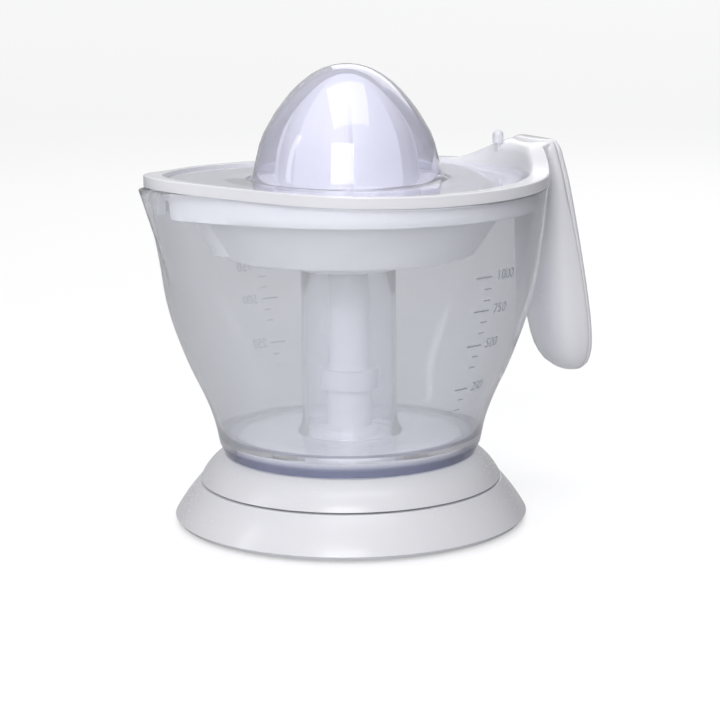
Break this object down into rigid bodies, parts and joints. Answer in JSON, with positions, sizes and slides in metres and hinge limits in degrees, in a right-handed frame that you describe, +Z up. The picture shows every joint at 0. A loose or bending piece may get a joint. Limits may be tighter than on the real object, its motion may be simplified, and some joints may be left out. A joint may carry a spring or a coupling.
{
  "type": "citrus press juicer",
  "caption": "Electric citrus juicer with motor base, lift-off clear jug, framed handle, strainer, ribbed reamer cone and clear dust cover.",
  "frame": {"origin": "on the drive axis at the plane of the feet", "axes": "+Z up along the drive axis, +X towards the handle, -X towards the pouring spout, Y across"},
  "size_m": [0.2161, 0.1678, 0.2052],
  "materials": {
    "white_casing": "glossy moulded ABS",
    "white_matte": "satin polypropylene",
    "white_gloss": "polished moulded plastic",
    "grey_rubber": "moulded rubber",
    "black_rubber": "moulded rubber",
    "zinc_steel": "zinc-plated",
    "stamped_steel": "stamped sheet",
    "bright_steel": "ground",
    "nylon_natural": "moulded nylon",
    "copper_wire": "enamelled copper wire",
    "bronze": "sintered bronze",
    "black_plastic": "moulded",
    "ferrite": "sintered ferrite",
    "clear_smoke": "clear moulded plastic with a faint smoky blue tint",
    "clear_cover": "clear moulded plastic, faint lavender tint"
  },
  "bodies": {
    "base": {"base_skirt": "white_casing", "base_collar": "white_casing", "base_plate": "white_matte", "rubber_feet": "grey_rubber", "housing_screws": "zinc_steel", "cord_gland": "black_rubber", "motor_can": "stamped_steel", "claw_plate_lower": "stamped_steel", "claw_plate_upper": "stamped_steel", "coil_bobbin": "nylon_natural", "coil_winding": "copper_wire", "gear_pins": "bright_steel", "gear_plate": "stamped_steel", "gearbox_cover": "stamped_steel", "output_bush": "bronze", "motor_screws": "zinc_steel", "return_spring": "bright_steel", "switch_body": "black_plastic"},
    "rotor": {"rotor_magnet": "ferrite", "rotor_hub": "nylon_natural"},
    "idler": {"idler_gear": "nylon_natural"},
    "output": {"output_gear": "nylon_natural"},
    "spindle": {"drive_spindle": "white_gloss"},
    "switch_lever": {"switch_lever": "bright_steel"},
    "switch_plunger": {"switch_plunger": "black_plastic"},
    "jug": {"jug": "clear_smoke", "jug_foot": "clear_smoke", "jug_tube": "clear_smoke"},
    "top_frame": {"top_frame": "white_casing", "handle_cover": "white_casing"},
    "pulp_ring": {"pulp_ring": "white_matte", "pulp_knob": "white_gloss"},
    "strainer": {"strainer": "white_matte"},
    "cone": {"reamer_cone": "white_gloss"},
    "cover": {"dust_cover": "clear_cover"}
  },
  "joints": [
    {"name": "jug_lift", "type": "slide", "parent": "base", "child": "jug", "axis": [0, 0, 1], "range_m": [0, 0.125]},
    {"name": "frame_lift", "type": "slide", "parent": "jug", "child": "top_frame", "axis": [0, 0, 1], "range_m": [0, 0.06]},
    {"name": "strainer_lift", "type": "slide", "parent": "top_frame", "child": "strainer", "axis": [0, 0, 1], "range_m": [0, 0.05]},
    {"name": "cover_lift", "type": "slide", "parent": "strainer", "child": "cover", "axis": [0, 0, 1], "range_m": [0, 0.07]},
    {"name": "cone_spin", "type": "hinge", "parent": "strainer", "child": "cone", "pos_m": [0, 0, 0.15], "axis": [0, 0, 1], "continuous": true},
    {"name": "output_spin", "type": "hinge", "parent": "base", "child": "output", "pos_m": [0, 0, 0.03], "axis": [0, 0, 1], "continuous": true},
    {"name": "idler_spin", "type": "hinge", "parent": "base", "child": "idler", "pos_m": [-0.01521, 0.0159, 0.025], "axis": [0, 0, 1], "continuous": true},
    {"name": "rotor_spin", "type": "hinge", "parent": "base", "child": "rotor", "pos_m": [-0.017, 0, 0.015], "axis": [0, 0, 1], "continuous": true},
    {"name": "spindle_press", "type": "slide", "parent": "output", "child": "spindle", "axis": [0, 0, -1], "range_m": [0, 0.0018], "stiffness_N_per_m": 1500, "deforming": ["return_spring"]},
    {"name": "switch_lever_turn", "type": "hinge", "parent": "base", "child": "switch_lever", "pos_m": [0.0363, 0, 0.0335], "axis": [0, -1, 0], "range_deg": [0, 3.87]},
    {"name": "switch_plunger_push", "type": "slide", "parent": "base", "child": "switch_plunger", "axis": [0, 0, -1], "range_m": [0, 0.0006]},
    {"name": "pulp_turn", "type": "hinge", "parent": "top_frame", "child": "pulp_ring", "pos_m": [0, 0, 0.145], "axis": [0, 0, 1], "range_deg": [-18, 0]}
  ],
  "couplings": [
    {"joint": "output_spin", "follows": "cone_spin", "ratio": 1},
    {"joint": "idler_spin", "follows": "cone_spin", "ratio": -2.6667},
    {"joint": "rotor_spin", "follows": "cone_spin", "ratio": 8},
    {"joint": "switch_lever_turn", "follows": "spindle_press", "rad_per_m": 35.539},
    {"joint": "switch_plunger_push", "follows": "spindle_press", "ratio": 0.3}
  ]
}
